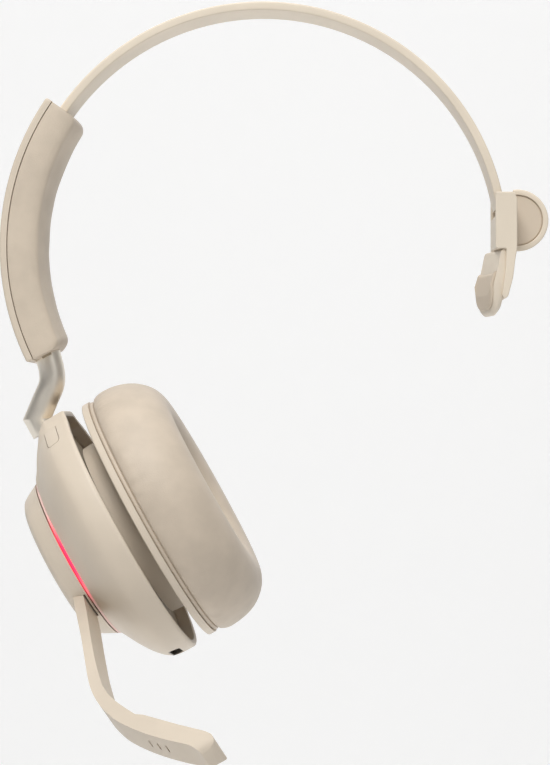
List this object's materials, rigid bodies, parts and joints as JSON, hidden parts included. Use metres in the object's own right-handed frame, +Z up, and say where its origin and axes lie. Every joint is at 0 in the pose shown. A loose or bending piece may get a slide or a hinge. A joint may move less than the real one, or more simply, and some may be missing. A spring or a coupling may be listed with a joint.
{
  "type": "wireless mono headset",
  "caption": "One-ear wireless headset with a spring headband, padded sleeve, swivelling ear cup, rotating boom microphone and temple support.",
  "frame": {"origin": "centre of the headband's arc, which is the centre of the wearer's head between the ear cup and the temple support", "axes": "+Z up through the crown of the band, +X from the ear cup's side to the temple support's side, +Y along the band's width"},
  "size_m": [0.1472, 0.1208, 0.1941],
  "materials": {
    "band_plastic": "soft satin",
    "beige_plastic": "soft touch",
    "pad_leather": "fine grain",
    "cushion_leather": "fine grain",
    "satin_metal": "satin champagne",
    "spring_steel": "rolled",
    "screw_steel": "plain",
    "inner_plastic": "plain moulded",
    "light_guide": "lit red",
    "board": "solder resist",
    "cell_wrap": "foil pouch",
    "port_metal": "stamped",
    "magnet_metal": "plated",
    "speaker_film": "thin film",
    "speaker_fabric": "acoustic mesh",
    "silicone": "matt silicone"
  },
  "bodies": {
    "headband": {"band_core": "spring_steel", "band_cover": "band_plastic", "sleeve_shell": "beige_plastic", "sleeve_frame": "inner_plastic", "sleeve_pad": "pad_leather", "sleeve_screws": "screw_steel", "detent_spring": "spring_steel"},
    "arm": {"slide_runner": "inner_plastic", "arm_rod": "satin_metal", "swivel_pin": "screw_steel", "swivel_clip": "spring_steel"},
    "ear_cup": {"cup_housing": "beige_plastic", "inner_cover": "inner_plastic", "cover_screws": "screw_steel", "light_ring": "light_guide", "main_board": "board", "battery": "cell_wrap", "swivel_bush": "inner_plastic", "charging_port": "port_metal", "power_window": "inner_plastic"},
    "call_button": {"call_button": "beige_plastic"},
    "volume_rocker": {"volume_rocker": "beige_plastic"},
    "power_slider": {"power_slider": "beige_plastic"},
    "speaker": {"speaker_plate": "beige_plastic", "tilt_pin": "screw_steel", "cushion_ring": "beige_plastic", "ear_cushion": "cushion_leather", "speaker_basket": "inner_plastic", "speaker_magnet": "magnet_metal", "speaker_diaphragm": "speaker_film", "speaker_cloth": "speaker_fabric"},
    "boom": {"boom_hub": "beige_plastic", "hub_cap": "beige_plastic", "hub_clip": "spring_steel", "friction_washer": "inner_plastic", "boom_arm": "beige_plastic", "microphone_cover": "beige_plastic", "microphone_capsules": "magnet_metal"},
    "temple_support": {"temple_block": "band_plastic", "temple_pin": "screw_steel", "temple_paddle": "band_plastic", "temple_pad": "silicone", "side_disc": "band_plastic", "side_disc_pad": "silicone"}
  },
  "joints": [
    {"name": "arm_extension", "type": "hinge", "parent": "headband", "child": "arm", "pos_m": [0, 0, 0], "axis": [0, -1, 0], "range_deg": [0, 20]},
    {"name": "cup_swivel", "type": "hinge", "parent": "arm", "child": "ear_cup", "pos_m": [-0.04228, 0, -0.0794], "axis": [-0.4879, 0, 0.8729], "range_deg": [-30, 90]},
    {"name": "cushion_tilt", "type": "hinge", "parent": "ear_cup", "child": "speaker", "pos_m": [-0.03425, 0, -0.07491], "axis": [0, 1, 0], "range_deg": [-3.5, 3.5], "stiffness_Nm_per_rad": 0.35},
    {"name": "boom_swing", "type": "hinge", "parent": "ear_cup", "child": "boom", "pos_m": [-0.0353, 0, -0.0755], "axis": [0.8729, 0, 0.4879], "range_deg": [-124, 146]},
    {"name": "temple_tilt", "type": "hinge", "parent": "headband", "child": "temple_support", "pos_m": [0.06361, 0, 0.01156], "axis": [0, 1, 0], "range_deg": [-6, 6]},
    {"name": "call_press", "type": "slide", "parent": "ear_cup", "child": "call_button", "axis": [0.4267, 0.4848, -0.7635], "range_m": [0, 0.0004], "stiffness_N_per_m": 1500},
    {"name": "volume_press", "type": "hinge", "parent": "ear_cup", "child": "volume_rocker", "pos_m": [-0.03966, 0.0345, -0.07794], "axis": [0.8729, 0, 0.4879], "range_deg": [-2.5, 2.5], "stiffness_Nm_per_rad": 0.08},
    {"name": "power_slide", "type": "slide", "parent": "ear_cup", "child": "power_slider", "axis": [-0.3996, 0.5736, 0.7151], "range_m": [-0.002, 0.002]}
  ]
}
